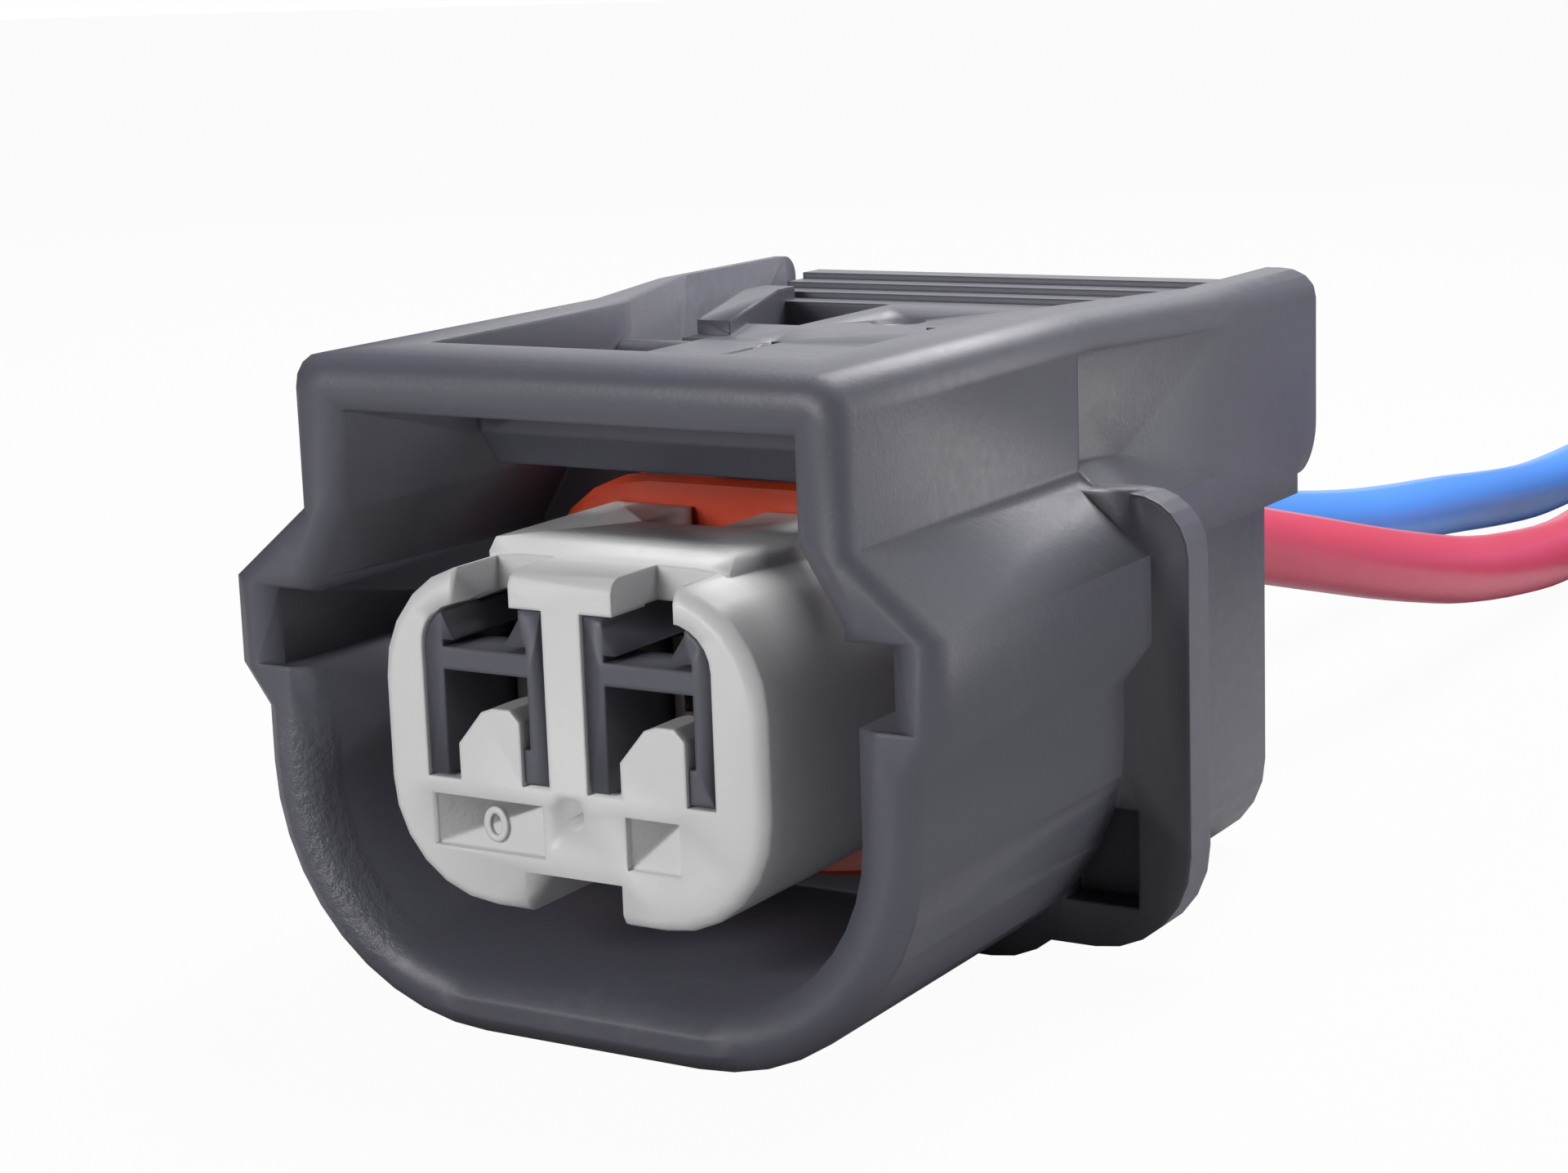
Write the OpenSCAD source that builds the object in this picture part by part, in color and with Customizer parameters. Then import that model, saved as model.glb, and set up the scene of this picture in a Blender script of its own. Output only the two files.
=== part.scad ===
// Two-way sealed automotive connector with its pigtail wires.
// X runs across the connector, Y from the mating face to the wires, Z up.
// The origin is below the middle of the body, on the surface that it rests on.

/* [Circuits] */
// Distance between the two circuits
pitch = 4.2; // [4:0.1:4.5]
// Height of the wire axis above the rest plane
axis_z = 7.6; // [7.4:0.1:7.8]
// Outer diameter of an insulated wire
wire_d = 2.2; // [1.8:0.1:2.3]
// Diameter of the stranded copper core
core_d = 1.2; // [0.9:0.1:1.3]
// Outside width of a terminal's contact box
box_w = 1.9; // [1.6:0.1:2]
// Outside height of a terminal's contact box
box_h = 1.9; // [1.6:0.1:2]
// Thickness of the terminals' sheet metal
sheet = 0.25; // [0.2:0.01:0.3]

/* [Hood] */
// Width of the hood across its upper side walls
hood_w = 14.1; // [13.9:0.1:14.5]
// Width across the two guide ears
ear_w = 18.2; // [17.6:0.1:18.8]
// Width of the hood below the ears
lower_w = 16.8; // [16.4:0.1:17.2]
// Height of the hood
hood_h = 15; // [14.8:0.1:15.5]
// Thickness of the hood's walls
wall = 1.3; // [1.1:0.05:1.4]
// Radius of the hood's two lower corners
bottom_r = 5.6; // [5.2:0.1:6]
// Depth of the mating gap behind the rim
gap_depth = 9; // [8.95:0.05:9.4]
// Depth of the bridge that closes the hood above its mouth
bridge_len = 2.45; // [2:0.05:2.8]
// Width of the open slot in the roof
slot_w = 9.9; // [9.9:0.1:10.4]

/* [Flange and guards] */
// Distance from the rim to the front of the flange
flange_y = 9.75; // [9.75:0.05:10.2]
// Thickness of the flange
flange_t = 1.1; // [0.8:0.1:1.4]
// Width across the flange plates
flange_w = 20; // [19.4:0.1:20.8]
// Width of the rear block that holds the wire seals
block_w = 14.6; // [14:0.1:15]
// Distance from the rim to the rear face of the rear block
block_end = 20.6; // [20:0.1:21.2]
// Width across the outside of the rear guard wings
wing_w = 16.4; // [16:0.1:17]
// Thickness of a guard wing
wing_t = 1.1; // [0.9:0.1:1.3]
// Distance from the rim to the rear end of the wings
body_len = 21.85; // [21.6:0.05:22.4]

/* [Front retainer] */
// Width of the front retainer
ret_w = 9.76; // [9.5:0.02:10]
// Height of the front retainer
ret_h = 7.55; // [7.4:0.05:7.7]
// Length of the front retainer
ret_len = 6.8; // [6.5:0.05:6.85]
// Thickness of the retainer's side walls
ret_wall = 0.75; // [0.6:0.05:0.85]
// Thickness of the retainer's front
ret_front = 1.25; // [1:0.05:1.4]
// Diameter of the small hole in the retainer's front
hole_d = 0.75; // [0.5:0.05:1]

/* [Lock lever] */
// Length of the lock bar across the front of the lever
lock_w = 9.5; // [9:0.1:9.6]
// Width of the thumb pad
pad_w = 12.4; // [11.6:0.1:12.8]
// Length of the thumb pad
pad_len = 3.4; // [3:0.1:3.8]
// Width of the lever's neck
neck_w = 4.2; // [3.6:0.1:4.8]
// Diameter of the round bars that the lever turns on
pivot_d = 1.1; // [0.9:0.05:1.3]
// Number of grip ridges on the thumb pad
grip_count = 3; // [2:1:4]

/* [Seals] */
// Height of the interface seal's lips above the retainer
lip_h = 0.65; // [0.5:0.05:0.75]
// Length of the interface seal
seal_len = 1.95; // [1.7:0.05:2]
// Diameter of the bores for the wire seals
seal_bore_d = 3.6; // [3.3:0.05:3.7]
// Number of ribs on a wire seal
rib_count = 3; // [2:1:4]

/* [Hidden] */
$fn = 48;

// Running clearance between pieces that slide or turn on each other
clear = 0.06;
// Amount by which a cutter passes through a face
over = 1;
// Points on each quarter turn of an outline
arc_steps = 6;

origin_y = body_len / 2;

// ---- heights on the hood
shoulder_drop = 3.5;
ear_slope = 1.65;
ear_h = 2;
shoulder_z = hood_h - shoulder_drop;
ear_top_z = shoulder_z - ear_slope;
ear_bottom_z = ear_top_z - ear_h;
ear_step = 0.95;
top_r = 0.8;
rim_chamfer = 0.4;
rim_chamfer_len = 0.35;
lead_in = 0.57;
lead_in_len = 0.3;
roof_t = wall - 0.05;
ear_wall = wall - 0.05;
lower_wall = wall + 0.1;
ear_gap_top = ear_top_z - 0.2;
ear_gap_bottom = ear_bottom_z + 0.05;
throat_w = 13.5;

// ---- the tower, which carries the retainer and the interface seal
ret_drop = 4.6;
ret_z0 = axis_z - ret_drop;
ret_top_r = 2.6;
ret_bottom_r = 2.7;
nose_gap = ret_wall + clear;
nose_y = ret_front + clear;
tab_z = axis_z + 0.3;
tab_w = 1.5;
tab_h = 0.7;
finger_w = 3.1;
finger_bottom = axis_z - 1.7;
finger_top = axis_z + 2.1;
finger_recess = 0.08;
bar_left = 0.45;
bar_right = 0.6;
cross_z = axis_z + 0.65;
cross_h = 0.5;
window_r = 1;
passage_w = 2.2;
passage_bottom = axis_z - core_d / 2 - sheet - 0.1;
passage_top = tab_z + box_h / 2 + clear;

// ---- front retainer
ret_top = ret_z0 + ret_h;
head_w = 2.64;
arm_edge = 2.85;
arm_t = 0.8;
tool_slot_len = 1.75;
step_y = 1.8;
step_h = 0.27;
step_w = 6.2;
notch_w = 2.54;
notch_h = 0.95;
notch_len = 3;
groove_w = 2.06;
groove_len = 2;
groove_depth = 0.42;
tongue_left = 0.74;
tongue_right = 0.9;
tongue_top = axis_z - 0.1;
tongue_shoulder = 0.85;
tongue_len = 4;
hole_drop = 2.28;
mark_depth = 0.15;
mark_z = [ret_z0 + 1.3, ret_z0 + 2.47];
left_mark_x = [-3.65, -0.7];
right_mark_x = [1.44, 2.78];
edge_round = 0.3;

// ---- interface seal
seal_back = 0.13;
seal_y = gap_depth - seal_back - seal_len;

// ---- rear of the housing
deck_z = axis_z + 2.7;
bulkhead_z = axis_z + 4.25;
block_r = 2.4;
flange_z0 = 0.6;
flange_top_r = 1.4;
flange_bottom_r = 2.4;
flange_window_x = flange_w / 2 - 1.29;
flange_window_z = [1.65, 3.95];
flange_skin = 0.2;
hood_end = flange_y + 0.55;
guard_start = flange_y + 0.7;
guard_end = 15.9;
guard_t = wall;
rim_h = 0.85;
ledge_h = 1.8;
wing_r = 0.6;
bay_w = wing_w - 2 * wing_t;
bore_flare = 0.25;
recess_w = 4.6;
recess_h = 3.4;
recess_z = 1.3;
recess_len = 8;

// ---- lock lever
pivot_y = flange_y + 0.35;
lever_top = hood_h - 0.85;
pivot_z = lever_top - pivot_d / 2;
plate_t = 0.85;
bar_y = 3.9;
bar_len = 1.95;
bar_z = hood_h - 3;
plate_w = 6;
yoke_w = 7.3;
yoke_y = pivot_y + 0.6;
rail_y = pivot_y + 1.3;
rail_end = body_len - 4.2;
frame_y = 13.6;
rail_t = 0.95;
rail_up = 0.35;
pad_y = body_len - 0.25 - pad_len;
pad_down = 1.3;
grip_step = 0.16;
slit_w = 0.3;
slit_len = 3;
slit_x = -0.9;
dimple_d = 1.4;
dimple_depth = 0.12;
dimple_y = 14.9;

// ---- terminals and wires
box_y = 2.5;
box_len = 5.8;
spring_y = box_y + 2.4;
sink = 0.04;
neck_len = 1.2;
crimp_y = box_y + box_len + neck_len;
crimp_len = 2.2;
barrel_gap = 0.8;
barrel_len = 2;
barrel_y = crimp_y + crimp_len + barrel_gap;
insulation_y = crimp_y + crimp_len + 0.3;
seal_bore_len = block_end - crimp_y - crimp_len + 0.2;
wire_seal_y = barrel_y + barrel_len + 0.1;
wire_seal_end = block_end - 0.5;
neck_seal_d = wire_d + 0.5;
rib_d = seal_bore_d;
web_d = seal_bore_d - 0.55;

// ---- the coil that the rest of each wire is wound into
coil_x = 17.6;
coil_y = 65.4;
coil_r = 11.35;
tie_t = 0.35;
tie_w = 3;
coil_wide = 3 * wire_d;
red_z = tie_t + wire_d / 2;
blue_z = red_z + wire_d;

// Middle of each wire, from inside its seal to the coil, measured from the rim
red_route = [
    [pitch / 2, insulation_y, axis_z], [pitch / 2, block_end - 0.6, axis_z], [2.4, 24, 7.3], [3.1, 28, 6.5], [3.9, 32, 5.5],
    [4.4, 36, 4.5], [4.6, 40, 3.6], [4.6, 44, 2.8], [4.6, 49, 2.1], [4.5, 54, 1.6], [4.2, 60, 1.45], [4.05, 65.4, 1.45]
];
blue_route = [
    [-pitch / 2, insulation_y, axis_z], [-pitch / 2, block_end - 0.6, axis_z], [-2.1, 25, 7.5], [-2, 31, 6.8], [-1.7, 37, 5.4],
    [-1.3, 42, 4.3], [-1, 47, 3.5], [-0.9, 52, 2.9], [-0.8, 57, 2.4], [-0.8, 62, 1.8], [-0.8, 67, 1.3],
    [-0.5, 70.5, 1.3], [0.6, 74, 1.8], [3.2, 77.6, 2.7], [7, 79.5, 3.4], [12, 79.7, 3.65], [17.6, 78.95, 3.65]
];

// ------------------------------------------------------------------ helpers

// Points of an arc about c from angle a0 to a1
function arc(c, r, a0, a1, n = arc_steps) =
    [for (i = [0:n]) let (a = a0 + (a1 - a0) * i / n) [c[0] + r * cos(a), c[1] + r * sin(a)]];

// Closes a right-hand half outline with its mirror image
function both(half) =
    concat(half, [for (i = [len(half) - 1:-1:0]) [-half[i][0], half[i][1]]]);

// Places a flat [x, z] outline at depth y
function ring(outline, y) = [for (p = outline) [p[0], y, p[1]]];

// Closed solid skinned over rings of equal count, front ring first
module skin(rings) {
    n = len(rings[0]);
    last = len(rings) - 1;
    points = [for (r = rings) each r];
    sides = [
        for (k = [0:last - 1], i = [0:n - 1])
            let (a = k * n + i, b = k * n + (i + 1) % n)
            each [[a, a + n, b], [b, a + n, b + n]]
    ];
    polyhedron(points, concat([[for (i = [0:n - 1]) i]], sides, [[for (i = [n - 1:-1:0]) last * n + i]]));
}

// Extrudes an [x, z] outline along Y from y0 to y1
module along_y(y0, y1) {
    translate([0, y1, 0]) rotate([90, 0, 0]) linear_extrude(y1 - y0) children();
}

// Extrudes an [x, y] plan from z0 to z1
module upright(z0, z1) {
    translate([0, 0, z0]) linear_extrude(z1 - z0) children();
}

// Box between two corners
module block(a, b) {
    translate(a) cube(b - a);
}

// Repeats the right-hand half on the left
module mirror_x() {
    children();
    mirror([1, 0, 0]) children();
}

// Moves pieces from the rim's frame to the part's own frame
module place() {
    translate([0, -origin_y, 0]) children();
}

// ------------------------------------------------------------------ outlines

// Half outline of the hood, grown outwards by g
function hood_half(g) = concat(
    arc([hood_w / 2 - top_r, hood_h - top_r], top_r + g, 90, 0, 4),
    [
        [hood_w / 2 + g, shoulder_z], [ear_w / 2 + g, ear_top_z + g / 2],
        [ear_w / 2 + g, ear_bottom_z - g / 2], [lower_w / 2 + g, ear_bottom_z - ear_step]
    ],
    arc([lower_w / 2 - bottom_r, bottom_r], bottom_r + g, 0, -90, 10)
);

// Half outline of the hood's cavity; g opens it for the lead-in at the rim
function cavity_half(g) = concat(
    [
        [hood_w / 2 - wall - 0.02 + 0.7 * g, hood_h - roof_t + g],
        [hood_w / 2 - wall - 0.02 + 0.7 * g, shoulder_z + 0.05 - 0.5 * g],
        [throat_w / 2 + 0.7 * g, ear_gap_top + 0.25],
        [throat_w / 2 + 0.7 * g, ear_gap_top + 0.15 * g],
        [ear_w / 2 - ear_wall + 0.55 * g, ear_gap_top + 0.15 * g],
        [ear_w / 2 - ear_wall + 0.55 * g, ear_gap_bottom - 0.15 * g],
        [lower_w / 2 - lower_wall + g, ear_gap_bottom - 0.15 * g]
    ],
    arc([lower_w / 2 - bottom_r, bottom_r - 0.1], bottom_r - lower_wall + g, 0, -90, 10)
);

// Half outline of the retainer, grown outwards by g; top sets its upper face
function ret_half(g, top = ret_top) = concat(
    arc([ret_w / 2 - ret_top_r, top - ret_top_r], ret_top_r + g, 90, 0),
    arc([ret_w / 2 - ret_bottom_r, ret_z0 + ret_bottom_r], ret_bottom_r + g, 0, -90)
);

// Window in the right half of the retainer's front, shrunk by g
function window_half(g) =
    let (x0 = pitch / 2 - finger_w / 2 - clear + g, x1 = pitch / 2 + finger_w / 2 + clear - g,
         z0 = finger_bottom - clear + g, z1 = finger_top + clear - g)
    concat([[x0, z0], [x0, z1]], arc([x1 - window_r, z1 - window_r], window_r, 90, 0), [[x1, z0]]);

// ------------------------------------------------------------------ housing

// Tapers an outline about the point [0, mid] from grow times its size at y0 to its own size at y1
module tapered(y0, y1, grow, mid) {
    translate([0, y1, mid]) rotate([90, 0, 0])
        linear_extrude(y1 - y0, scale = grow) translate([0, -mid]) children();
}

// Outside of the hood, with its rim chamfered
module hood_shell() {
    mid = hood_h / 2;
    tapered(0, rim_chamfer_len, 1 - rim_chamfer / mid, mid) polygon(both(hood_half(0)));
    along_y(rim_chamfer_len, hood_end) polygon(both(hood_half(0)));
}

// Inside of the hood, and the lead-in at its mouth
module hood_cavity() {
    mid = hood_h / 2;
    tapered(-lead_in_len, lead_in_len, 1 + 2 * lead_in / mid, mid) polygon(both(cavity_half(0)));
    along_y(lead_in_len - 0.01, gap_depth) polygon(both(cavity_half(0)));
}

// Collar with a plate on each side, behind the hood
module flange() {
    along_y(flange_y, flange_y + flange_t) polygon(both(concat(
        arc([flange_w / 2 - flange_top_r, bulkhead_z - 0.65 - flange_top_r], flange_top_r, 90, 0),
        arc([flange_w / 2 - flange_bottom_r, flange_z0 + flange_bottom_r], flange_bottom_r, 0, -90)
    )));
}

// Solid block that carries the wire seals
module rear_block() {
    along_y(flange_y, block_end) polygon(both(concat(
        [[block_w / 2, deck_z]],
        arc([block_w / 2 - block_r, block_r], block_r, 0, -90)
    )));
}

// Section of the guard's rim, with its outer face at x and its inner face cut back later
function rim_section(x, inner) = concat(
    [[inner - over, hood_h]],
    arc([x - top_r, hood_h - top_r], top_r, 90, 0, 4),
    [[x, hood_h - rim_h - 0.01], [inner - over, hood_h - rim_h - 0.01]]
);

module guards() {
    mirror_x() {
        // wall with its scooped side
        upright(deck_z, hood_h - rim_h) polygon([
            [slot_w / 2 - over, hood_end], [hood_w / 2, hood_end], [hood_w / 2, guard_start],
            [slot_w / 2 + guard_t, guard_start], [wing_w / 2, guard_end], [wing_w / 2, body_len],
            [bay_w / 2 - over, body_len]
        ]);
        // rounded rim that runs on along the top
        skin([
            ring(rim_section(hood_w / 2, slot_w / 2), hood_end),
            ring(rim_section(hood_w / 2, slot_w / 2), guard_start + 0.8),
            ring(rim_section(wing_w / 2, bay_w / 2), guard_end),
            ring(rim_section(wing_w / 2, bay_w / 2), body_len)
        ]);
        // sloping ledge under the scoop
        along_y(hood_end, body_len) polygon([
            [block_w / 2 - over, deck_z - 0.9], [wing_w / 2, deck_z - 0.9],
            [wing_w / 2, deck_z + 0.35], [hood_w / 2, deck_z + 1.25], [block_w / 2 - over, deck_z + 1.25]
        ]);
    }
}

// Space between the guard walls in which the lock lever works
module lever_bay() {
    bay = [
        [slot_w / 2, bridge_len], [slot_w / 2, guard_start],
        [bay_w / 2, guard_end + 0.4], [bay_w / 2, body_len + over]
    ];
    upright(bulkhead_z, hood_h + over) polygon(both(bay));
    difference() {
        upright(deck_z, bulkhead_z + 0.1) polygon(both(bay));
        block([-flange_w, 0, 0], [flange_w, flange_y, hood_h]);
    }
}

// Rounds the rear corners of the wings and clears the space below them
module wing_trim() {
    block([-flange_w, block_end, -over], [flange_w, body_len + over, deck_z - 0.4]);
    difference() {
        block([-flange_w, body_len - wing_r, hood_h - wing_r], [flange_w, body_len + over, hood_h + over]);
        translate([0, body_len - wing_r, hood_h - wing_r]) rotate([0, 90, 0])
            cylinder(h = 2 * flange_w, r = wing_r, center = true);
    }
    difference() {
        block([-flange_w, body_len - 2 * wing_r, deck_z - over], [flange_w, body_len + over, deck_z - 0.4 + 2 * wing_r]);
        translate([0, body_len - 2 * wing_r, deck_z - 0.4 + 2 * wing_r]) rotate([0, 90, 0])
            cylinder(h = 2 * flange_w, r = 2 * wing_r, center = true);
    }
}

// Deep windows in the flange plates, beside the hood
module flange_windows() {
    mirror_x() block([hood_w / 2 - 0.2, flange_y - 0.01, flange_window_z[0]],
                     [flange_window_x, flange_y + flange_t - flange_skin, flange_window_z[1]]);
}

// Bores for the wire seals with their flared mouths, and the passages for the terminals
module circuit_bores() {
    for (side = [-1, 1]) translate([side * pitch / 2, 0, 0]) {
        translate([0, block_end + 0.001, axis_z]) rotate([90, 0, 0]) {
            cylinder(h = seal_bore_len, d = seal_bore_d);
            cylinder(h = bore_flare, d1 = seal_bore_d + 2 * bore_flare, d2 = seal_bore_d, $fn = 32);
        }
        block([-passage_w / 2, 0, passage_bottom], [passage_w / 2, block_end - seal_bore_len + 0.3, passage_top]);
    }
}

// Cored recesses in the rear face, under the wires
module rear_recesses() {
    mirror_x() block([0.5, block_end - recess_len, recess_z],
                     [0.5 + recess_w, block_end + over, recess_z + recess_h]);
}

// Square nose inside the retainer, with two fingers that reach its front face
module tower() {
    difference() {
        union() {
            along_y(nose_y, gap_depth + 0.1) polygon(both(ret_half(-nose_gap)));
            mirror_x() along_y(finger_recess, nose_y + 0.1) polygon(window_half(clear));
        }
        circuit_bores();
        for (side = [-1, 1]) translate([side * pitch / 2, 0, 0]) {
            // room for the retainer's tongue, below the crossbar
            block([bar_left - finger_w / 2, -over, ret_z0], [finger_w / 2 - bar_right, nose_y + 0.2, cross_z]);
            block([-tongue_left - clear, nose_y - 0.1, finger_bottom - 0.3],
                  [tongue_right + clear, tongue_len + 0.3, tab_z]);
            // funnel above the crossbar
            along_y(-over, 3.5) polygon([
                [-0.7, cross_z + cross_h], [0.45, cross_z + cross_h], [finger_w / 2 - bar_right, finger_top - 0.2],
                [finger_w / 2 - bar_right, ret_top], [bar_left - finger_w / 2, ret_top], [bar_left - finger_w / 2, finger_top - 0.2]
            ]);
        }
    }
}

// Crossbars that stand in front of the terminal boxes
module crossbars() {
    for (side = [-1, 1]) translate([side * pitch / 2, 0, 0])
        block([-finger_w / 2 + 0.1, finger_recess, cross_z], [finger_w / 2 - 0.1, nose_y + 0.1, cross_z + cross_h]);
}

module housing() {
    color("#3b3a42") place() {
        difference() {
            union() {
                hood_shell();
                flange();
                rear_block();
                guards();
            }
            hood_cavity();
            lever_bay();
            wing_trim();
            flange_windows();
            rear_recesses();
            circuit_bores();
        }
        tower();
        crossbars();
    }
}

// ------------------------------------------------------------------ lock lever

// Half width of the lever at depth y, along the outside of its spreading rails
function rail_x(y) = yoke_w / 2 + (pad_w - yoke_w) / 2 * (y - rail_y) / (rail_end - rail_y);

// Side rail of the lever, from the yoke to the thumb pad
module rail() {
    polygon([
        [yoke_w / 2 - rail_t, rail_y], [yoke_w / 2, rail_y], [pad_w / 2, rail_end], [pad_w / 2, pad_y + 0.5],
        [pad_w / 2 - rail_t, pad_y + 0.5], [pad_w / 2 - rail_t, rail_end + 0.2]
    ]);
}

module lever_plate() {
    difference() {
        upright(lever_top - plate_t, lever_top) {
            translate([-plate_w / 2, bar_y]) square([plate_w, frame_y - bar_y]);
            polygon(both([[yoke_w / 2, yoke_y], [yoke_w / 2, rail_y], [rail_x(frame_y) - 0.1, frame_y]]));
            translate([-neck_w / 2, frame_y - 0.1]) square([neck_w, pad_y - frame_y + 0.2]);
        }
        block([slit_x - slit_w / 2, pivot_y + 0.5 - slit_len, 0], [slit_x + slit_w / 2, pivot_y + 0.5, hood_h]);
        translate([0, dimple_y, lever_top - dimple_depth]) cylinder(h = over, d = dimple_d);
    }
    mirror_x() upright(lever_top - plate_t, lever_top + rail_up) rail();
}

// Bar that locks behind the catch of the mating half, with a sloped front
module lock_bar() {
    translate([-lock_w / 2, 0, 0]) rotate([90, 0, 90]) linear_extrude(lock_w) polygon([
        [bar_y, bar_z + 0.8], [bar_y + 0.6, bar_z], [bar_y + bar_len, bar_z],
        [bar_y + bar_len, lever_top - plate_t + 0.1], [bar_y, lever_top - plate_t + 0.1]
    ]);
}

module thumb_pad() {
    block([-pad_w / 2, pad_y, lever_top - pad_down], [pad_w / 2, pad_y + pad_len, lever_top]);
    for (i = [0:grip_count - 1]) {
        y = pad_y + pad_len * (i + 1) / (grip_count + 1);
        block([-pad_w / 2, y, lever_top - 0.1], [pad_w / 2, pad_y + pad_len, lever_top + grip_step * (i + 1)]);
    }
}

// Round bars that twist as the lever is pressed
module pivot_bars() {
    translate([0, pivot_y, pivot_z]) rotate([0, 90, 0])
        cylinder(h = slot_w - 2 * clear, d = pivot_d, center = true);
}

module lock_lever() {
    color("#37363e") place() {
        lever_plate();
        lock_bar();
        thumb_pad();
        pivot_bars();
    }
}

// ------------------------------------------------------------------ front retainer

// Outline of the windows, with the tongue that stands in each
module retainer_windows() {
    difference() {
        union() {
            polygon(window_half(0));
            mirror([1, 0, 0]) polygon(window_half(0));
        }
        for (side = [-1, 1]) translate([side * pitch / 2, 0]) polygon([
            [-tongue_left, finger_bottom - over], [-tongue_left, tongue_top - tongue_shoulder],
            [-0.1, tongue_top - 0.1], [0.2, tongue_top], [tongue_right - 0.25, tongue_top],
            [tongue_right, tongue_top - 0.25], [tongue_right, finger_bottom - over]
        ]);
    }
}

// Openings for the release tool between the T-shaped post and the side arms
module tool_slots() {
    mirror_x() block([head_w / 2, -over, finger_top - 0.3], [arm_edge, tool_slot_len, ret_top + over]);
}

module retainer_body() {
    skin([
        ring(both(ret_half(-edge_round)), 0),
        ring(both(ret_half(-edge_round / 3)), edge_round / 3),
        ring(both(ret_half(0)), edge_round)
    ]);
    along_y(edge_round, ret_len) polygon(both(ret_half(0)));
    // low step on the top, with a sloped front
    translate([-step_w / 2, 0, 0]) rotate([90, 0, 90]) linear_extrude(step_w) polygon([
        [step_y, ret_top - 0.2], [step_y, ret_top], [step_y + step_h, ret_top + step_h],
        [ret_len, ret_top + step_h], [ret_len, ret_top - 0.2]
    ]);
}

module front_retainer() {
    color("#b9b6ae") place() {
        difference() {
            retainer_body();
            along_y(ret_front, ret_len + over) polygon(both(ret_half(-ret_wall)));
            along_y(-over, ret_front + 0.1) retainer_windows();
            tool_slots();
            block([-notch_w / 2, -over, ret_z0 - over], [notch_w / 2, notch_len, ret_z0 + notch_h]);
            block([-groove_w / 2, ret_len - groove_len, ret_top + step_h - groove_depth],
                  [groove_w / 2, ret_len + over, ret_top + over]);
            translate([0, ret_front + over, axis_z - hole_drop]) rotate([90, 0, 0])
                cylinder(h = ret_front + 2 * over, d = hole_d);
            for (mark_x = [left_mark_x, right_mark_x])
                block([mark_x[0], -over, mark_z[0]], [mark_x[1], mark_depth, mark_z[1]]);
        }
        // roots of the tongues, which block the terminals
        for (side = [-1, 1]) translate([side * pitch / 2, 0, 0])
            block([-tongue_left, ret_front - 0.1, finger_bottom], [tongue_right, tongue_len, axis_z - box_h / 2 + 0.1]);
        // floor that ties the tongues to the retainer's bottom wall
        block([-pitch / 2 - tongue_left, ret_front - 0.1, ret_z0 + ret_wall - 0.1],
              [pitch / 2 + tongue_right, ret_front + 0.01, finger_bottom]);
    }
}

// ------------------------------------------------------------------ seals

module interface_seal() {
    seat = both(ret_half(-nose_gap));
    lip = both(ret_half(lip_h, ret_top + step_h));
    shoulder = both(ret_half(lip_h - 0.15, ret_top + step_h));
    valley = both(ret_half(lip_h - 0.4, ret_top + step_h));
    stations = [
        [0, shoulder], [0.08, lip], [0.23, lip], [0.36, valley],
        [0.59, valley], [0.72, lip], [0.87, lip], [1, shoulder]
    ];
    color("#e0431f") place() difference() {
        skin([for (s = stations) ring(s[1], seal_y + s[0] * seal_len)]);
        along_y(seal_y - over, seal_y + seal_len + over) polygon(seat);
    }
}

// Ribbed collar that seals a wire in its bore, with a neck that the terminal grips
module wire_seal(x) {
    length = wire_seal_end - wire_seal_y;
    step = length / rib_count;
    profile = concat(
        [[wire_d / 2, barrel_y], [neck_seal_d / 2, barrel_y], [neck_seal_d / 2, wire_seal_y]],
        [for (i = [0:rib_count - 1]) let (y = wire_seal_y + i * step)
            each [[web_d / 2, y], [web_d / 2, y + 0.3 * step], [rib_d / 2, y + 0.5 * step],
                  [rib_d / 2, y + 0.7 * step], [web_d / 2, y + 0.9 * step]]],
        [[web_d / 2, wire_seal_end], [wire_d / 2, wire_seal_end]]
    );
    color("#d8552b") place() translate([x, 0, axis_z]) rotate([-90, 0, 0])
        rotate_extrude() polygon(profile);
}

// ------------------------------------------------------------------ terminals

// Strip of the terminal's sheet that lies on a line of [y, z] points
module strip(line, width) {
    translate([-width / 2, 0, 0]) rotate([90, 0, 90]) linear_extrude(width)
        polygon(concat(line, [for (i = [len(line) - 1:-1:0]) line[i] + [0, sheet]]));
}

// Folded sheet contact: box with its spring, neck, core crimp and seal barrel
module terminal(x) {
    box_floor = tab_z - box_h / 2;
    crimp_floor = axis_z - core_d / 2 - sheet - sink;
    barrel_floor = axis_z - neck_seal_d / 2 - sheet - sink;
    color("#c9b37a") place() translate([x, 0, 0]) {
        difference() {
            block([-box_w / 2, box_y, box_floor], [box_w / 2, box_y + box_len, box_floor + box_h]);
            block([sheet - box_w / 2, box_y - over, box_floor + sheet],
                  [box_w / 2 - sheet, box_y + box_len + over, box_floor + box_h - sheet]);
        }
        // contact spring, bowed up from the floor of the box
        strip([
            [spring_y - 2, box_floor + 0.05], [spring_y, tab_z - tab_h / 2 - sheet], [spring_y + 2, box_floor + 0.05]
        ], box_w / 2);
        // neck from the box through both barrels
        strip([
            [box_y + box_len - 0.5, box_floor + sink], [box_y + box_len, box_floor + sink], [crimp_y + 0.2, crimp_floor],
            [crimp_y + crimp_len - 0.1, crimp_floor], [barrel_y + 0.1, barrel_floor]
        ], core_d * 0.7);
        translate([0, 0, axis_z]) {
            barrel(crimp_y, crimp_len, core_d);
            barrel(barrel_y, barrel_len - 0.2, neck_seal_d);
        }
    }
}

// Crimped barrel of inner diameter d
module barrel(y, length, d) {
    translate([0, y + length, 0]) rotate([90, 0, 0]) difference() {
        cylinder(h = length, d = d + 2 * sheet);
        translate([0, 0, -over]) cylinder(h = length + 2 * over, d = d);
    }
}

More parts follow.
